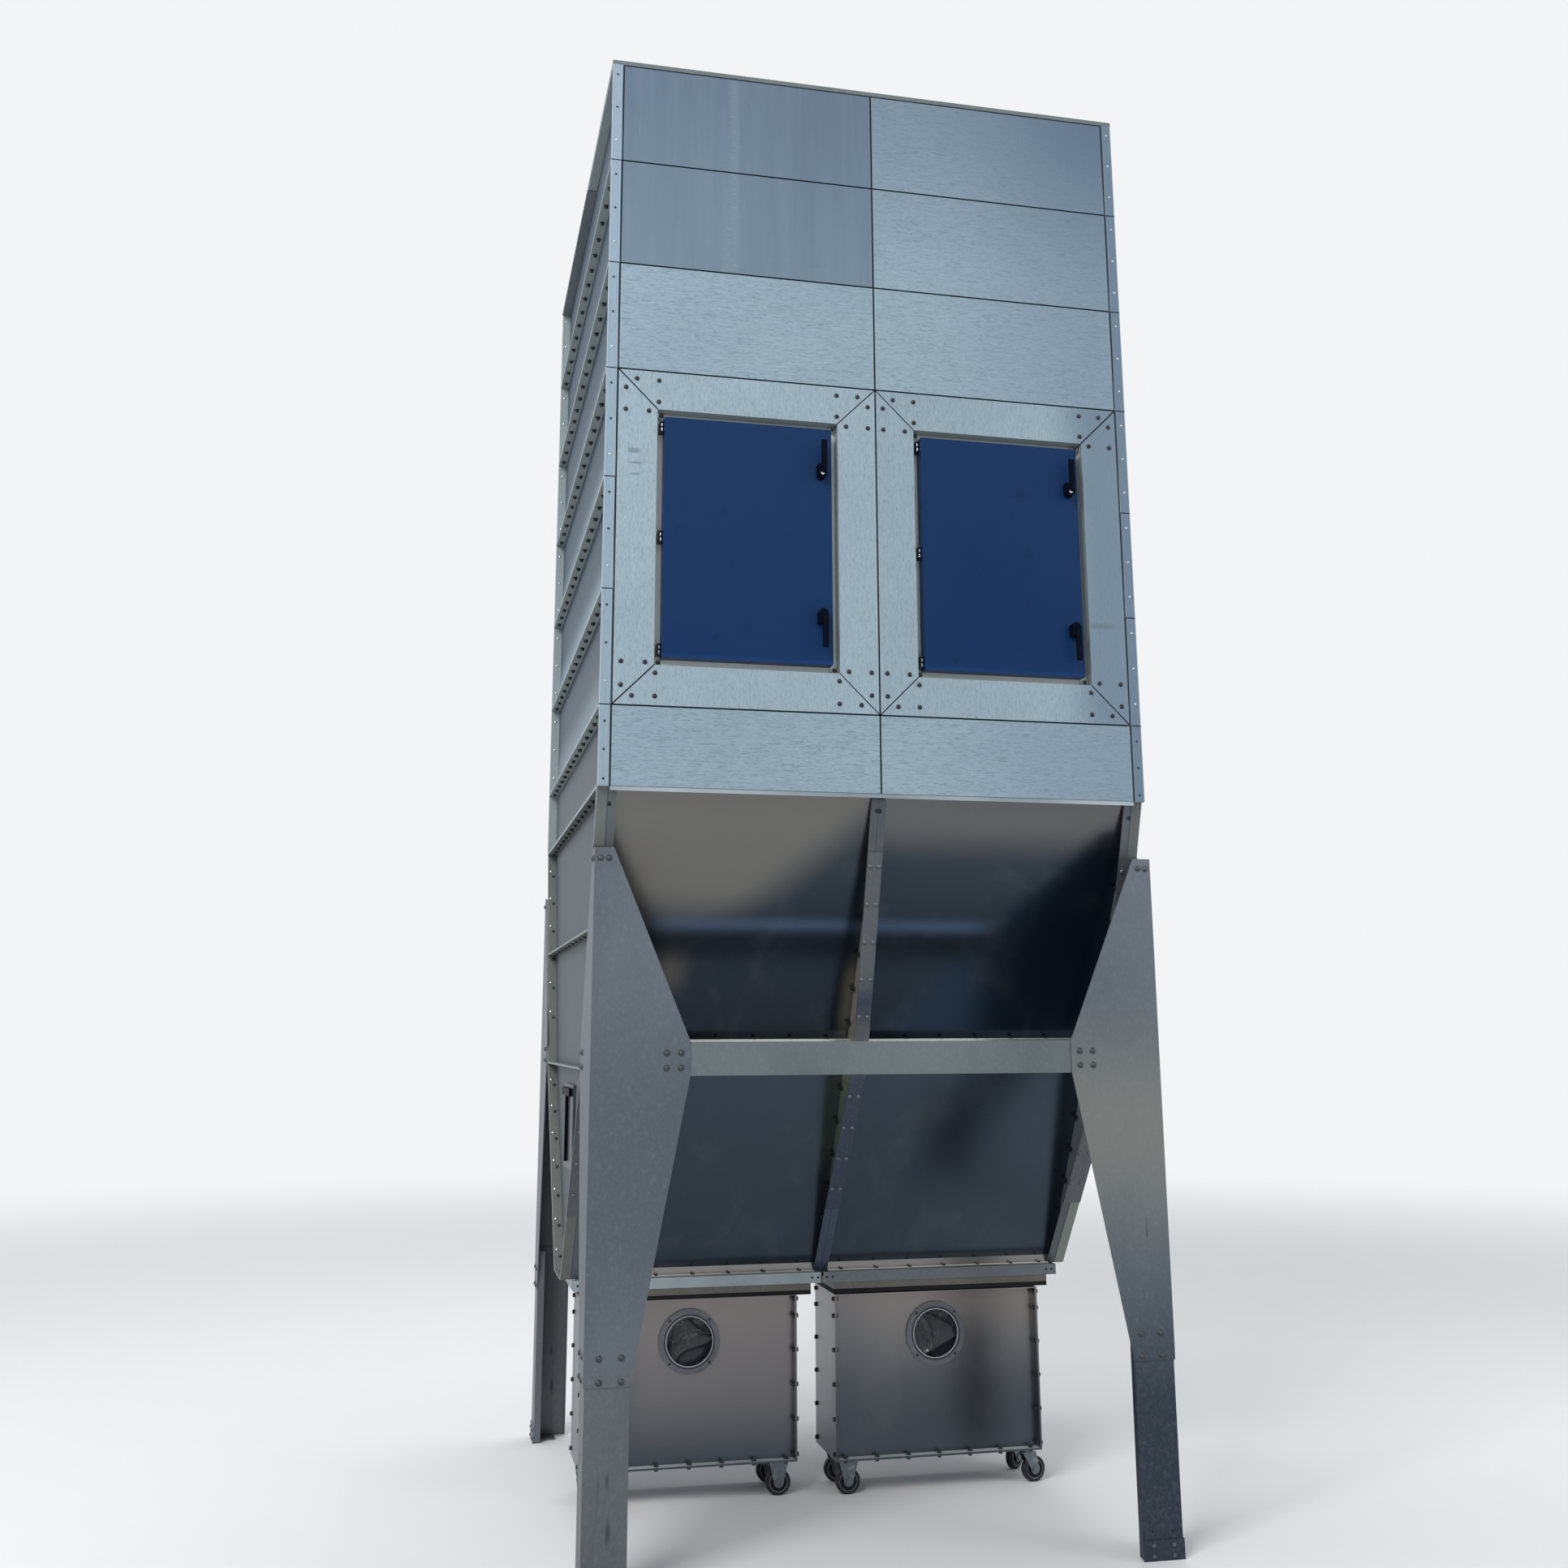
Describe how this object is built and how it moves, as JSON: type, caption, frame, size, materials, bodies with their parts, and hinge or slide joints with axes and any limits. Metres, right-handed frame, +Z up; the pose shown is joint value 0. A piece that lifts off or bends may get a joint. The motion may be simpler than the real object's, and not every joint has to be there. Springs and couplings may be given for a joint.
{
  "type": "modular bag filter dust collector with a two-bay hopper and roll-out dust bins",
  "caption": "Tall sheet-steel filter house on a tapering hopper with braced legs; it cleans dusty air and drops the dust into bins on casters.",
  "frame": {"origin": "floor level, middle of the outline seen from above", "axes": "+X to the right seen from the front, +Y to the back, +Z up; the access doors face -Y"},
  "size_m": [1.7506, 1.8936, 4.49],
  "materials": {
    "galvanised_panels": "satin",
    "galvanised_hopper": "satin",
    "bright_zinc": "satin",
    "dull_zinc": "matte",
    "blue_paint": "satin",
    "black_plastic": "matte",
    "dark_hinge_steel": "satin",
    "black_rubber": "matte",
    "caster_tyre": "matte",
    "clear_plastic": "gloss"
  },
  "bodies": {
    "dust_collector": {"front_panels": "galvanised_panels", "door_frames": "galvanised_panels", "door_rims": "bright_zinc", "access_doors": "blue_paint", "door_handles": "black_plastic", "door_hinges": "dark_hinge_steel", "left_wall_panels": "galvanised_panels", "right_wall_panels": "galvanised_panels", "rear_wall_panels": "galvanised_panels", "roof_panel": "galvanised_panels", "left_hopper_side": "galvanised_hopper", "right_hopper_side": "galvanised_hopper", "hopper_plates": "galvanised_hopper", "hopper_divider": "galvanised_hopper", "cover_strips": "galvanised_hopper", "top_angles": "bright_zinc", "outlet_rails": "bright_zinc", "outlet_collars": "bright_zinc", "outlet_gaskets": "black_rubber", "inspection_hatch": "galvanised_hopper", "hatch_clamp": "black_plastic", "leg_brackets": "dull_zinc", "lower_legs": "dull_zinc", "foot_shoes": "dull_zinc", "crossbars": "dull_zinc", "air_inlet": "bright_zinc", "clean_air_outlet": "bright_zinc"},
    "left_bin": {"left_bin_sheets": "galvanised_hopper", "left_window_ring": "dull_zinc", "left_window": "clear_plastic", "left_fixed_forks": "bright_zinc"},
    "right_bin": {"right_bin_sheets": "galvanised_hopper", "right_window_ring": "dull_zinc", "right_window": "clear_plastic", "right_fixed_forks": "bright_zinc"},
    "left_caster_wheel_1": {"left_wheel_1": "caster_tyre"},
    "left_caster_fork_1": {"left_fork_1": "bright_zinc"},
    "left_caster_wheel_2": {"left_wheel_2": "caster_tyre"},
    "left_caster_wheel_3": {"left_wheel_3": "caster_tyre"},
    "left_caster_fork_3": {"left_fork_3": "bright_zinc"},
    "left_caster_wheel_4": {"left_wheel_4": "caster_tyre"},
    "right_caster_wheel_1": {"right_wheel_1": "caster_tyre"},
    "right_caster_wheel_2": {"right_wheel_2": "caster_tyre"},
    "right_caster_fork_2": {"right_fork_2": "bright_zinc"},
    "right_caster_wheel_3": {"right_wheel_3": "caster_tyre"},
    "right_caster_wheel_4": {"right_wheel_4": "caster_tyre"},
    "right_caster_fork_4": {"right_fork_4": "bright_zinc"}
  },
  "joints": [
    {"name": "left_bin_roll", "type": "slide", "parent": "dust_collector", "child": "left_bin", "axis": [-1, 0, 0], "range_m": [0, 0.9]},
    {"name": "right_bin_roll", "type": "slide", "parent": "dust_collector", "child": "right_bin", "axis": [1, 0, 0], "range_m": [0, 0.9]},
    {"name": "left_caster_swivel_1", "type": "hinge", "parent": "left_bin", "child": "left_caster_fork_1", "pos_m": [-0.743, -0.036, 0.1], "axis": [0, 0, 1], "continuous": true},
    {"name": "left_caster_spin_1", "type": "hinge", "parent": "left_caster_fork_1", "child": "left_caster_wheel_1", "pos_m": [-0.73918, -0.01433, 0.04], "axis": [0.9848, -0.1736, 0], "continuous": true},
    {"name": "left_caster_spin_2", "type": "hinge", "parent": "left_bin", "child": "left_caster_wheel_2", "pos_m": [-0.127, -0.036, 0.04], "axis": [0, 1, 0], "continuous": true},
    {"name": "left_caster_swivel_3", "type": "hinge", "parent": "left_bin", "child": "left_caster_fork_3", "pos_m": [-0.743, 0.116, 0.1], "axis": [0, 0, 1], "continuous": true},
    {"name": "left_caster_spin_3", "type": "hinge", "parent": "left_caster_fork_3", "child": "left_caster_wheel_3", "pos_m": [-0.73548, 0.13667, 0.04], "axis": [0.9397, -0.342, 0], "continuous": true},
    {"name": "left_caster_spin_4", "type": "hinge", "parent": "left_bin", "child": "left_caster_wheel_4", "pos_m": [-0.127, 0.116, 0.04], "axis": [0, 1, 0], "continuous": true},
    {"name": "right_caster_spin_1", "type": "hinge", "parent": "right_bin", "child": "right_caster_wheel_1", "pos_m": [0.095, -0.076, 0.04], "axis": [0, 1, 0], "continuous": true},
    {"name": "right_caster_swivel_2", "type": "hinge", "parent": "right_bin", "child": "right_caster_fork_2", "pos_m": [0.711, -0.076, 0.1], "axis": [0, 0, 1], "continuous": true},
    {"name": "right_caster_spin_2", "type": "hinge", "parent": "right_caster_fork_2", "child": "right_caster_wheel_2", "pos_m": [0.73267, -0.07218, 0.04], "axis": [-0.1736, 0.9848, 0], "continuous": true},
    {"name": "right_caster_spin_3", "type": "hinge", "parent": "right_bin", "child": "right_caster_wheel_3", "pos_m": [0.095, 0.076, 0.04], "axis": [0, 1, 0], "continuous": true},
    {"name": "right_caster_swivel_4", "type": "hinge", "parent": "right_bin", "child": "right_caster_fork_4", "pos_m": [0.711, 0.076, 0.1], "axis": [0, 0, 1], "continuous": true},
    {"name": "right_caster_spin_4", "type": "hinge", "parent": "right_caster_fork_4", "child": "right_caster_wheel_4", "pos_m": [0.72834, 0.08954, 0.04], "axis": [-0.6157, 0.788, 0], "continuous": true}
  ]
}
